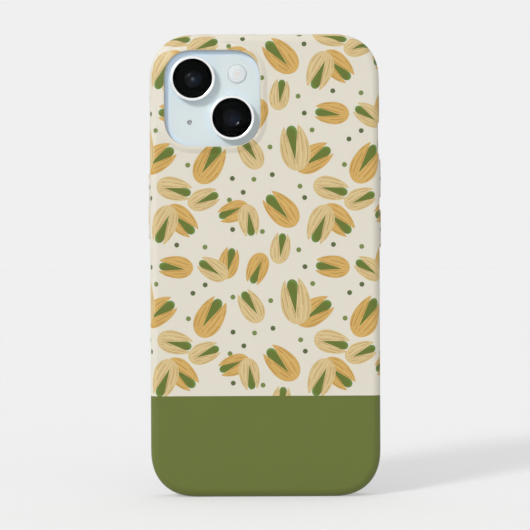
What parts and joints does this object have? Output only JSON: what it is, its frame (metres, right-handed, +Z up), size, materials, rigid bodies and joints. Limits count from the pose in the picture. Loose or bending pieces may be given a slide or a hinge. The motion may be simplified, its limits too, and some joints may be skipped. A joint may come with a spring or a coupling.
{
  "type": "smartphone in printed case",
  "caption": "Slim smartphone in a hard printed fitted case, standing on its bottom edge, with press buttons and a slide switch.",
  "frame": {"origin": "middle of the whole object's box, on the surface that its bottom edge stands on", "axes": "+Z up to the phone's top edge, -Y out of the printed back, +Y out of the screen, +X to the side with the volume buttons"},
  "size_m": [0.076, 0.0122, 0.151],
  "materials": {
    "printed_plastic": "satin hard plastic with a printed pattern of split nuts on cream and a plain olive band",
    "back_glass": "pale icy blue coloured glass, opaque",
    "black_glass": "polished, near black",
    "blue_aluminium": "pale blue anodised, satin",
    "polished_aluminium": "bright, fine turned",
    "white_plastic": "milky, smooth",
    "black_plastic": "fine matt",
    "display": "dark, switched off",
    "steel": "thin pressed sheet and woven mesh",
    "copper": "enamelled copper",
    "circuit_board": "solder mask"
  },
  "bodies": {
    "phone_in_case": {"case_shell": "printed_plastic", "frame": "blue_aluminium", "antenna_band_bottom_left": "white_plastic", "antenna_band_bottom_right": "white_plastic", "antenna_band_top_left": "white_plastic", "antenna_band_top_right": "white_plastic", "cover_glass": "black_glass", "earpiece_mesh": "steel", "display_panel": "display", "display_plate": "steel", "front_camera": "black_plastic", "face_sensor": "black_plastic", "back_glass": "back_glass", "upper_lens_ring": "polished_aluminium", "lower_lens_ring": "polished_aluminium", "upper_lens_glass": "black_glass", "lower_lens_glass": "black_glass", "upper_camera_module": "black_plastic", "lower_camera_module": "black_plastic", "flash_lens": "white_plastic", "flash_lamp": "white_plastic", "rear_microphone": "steel", "side_switch_strip": "black_plastic", "volume_switch_strip": "black_plastic", "ring_switch_housing": "black_plastic", "sim_tray": "blue_aluminium", "sim_card": "white_plastic", "sim_cage": "steel", "charging_port": "steel", "charging_tongue": "black_plastic", "bottom_screw_left": "steel", "bottom_screw_right": "steel", "microphone_mesh": "steel", "speaker_mesh": "steel", "battery": "black_plastic", "battery_cable": "copper", "main_board": "circuit_board", "upper_board_shield": "steel", "lower_board_shield": "steel", "port_board": "circuit_board", "haptic_motor": "steel", "loudspeaker": "black_plastic", "earpiece_speaker": "black_plastic", "charging_coil": "copper", "magnet_ring": "steel", "alignment_magnet": "steel"},
    "side_key": {"side_button_cover": "printed_plastic", "side_button": "blue_aluminium"},
    "volume_up_key": {"volume_up_cover": "printed_plastic", "volume_up_button": "blue_aluminium"},
    "volume_down_key": {"volume_down_cover": "printed_plastic", "volume_down_button": "blue_aluminium"},
    "ring_lever": {"ring_switch": "blue_aluminium"}
  },
  "joints": [
    {"name": "side_press", "type": "slide", "parent": "phone_in_case", "child": "side_key", "axis": [1, 0, 0], "range_m": [0, 0.00025], "stiffness_N_per_m": 2000},
    {"name": "volume_up_press", "type": "slide", "parent": "phone_in_case", "child": "volume_up_key", "axis": [-1, 0, 0], "range_m": [0, 0.00025], "stiffness_N_per_m": 2000},
    {"name": "volume_down_press", "type": "slide", "parent": "phone_in_case", "child": "volume_down_key", "axis": [-1, 0, 0], "range_m": [0, 0.00025], "stiffness_N_per_m": 2000},
    {"name": "ring_switch_slide", "type": "slide", "parent": "phone_in_case", "child": "ring_lever", "axis": [0, -1, 0], "range_m": [0, 0.0009]}
  ]
}
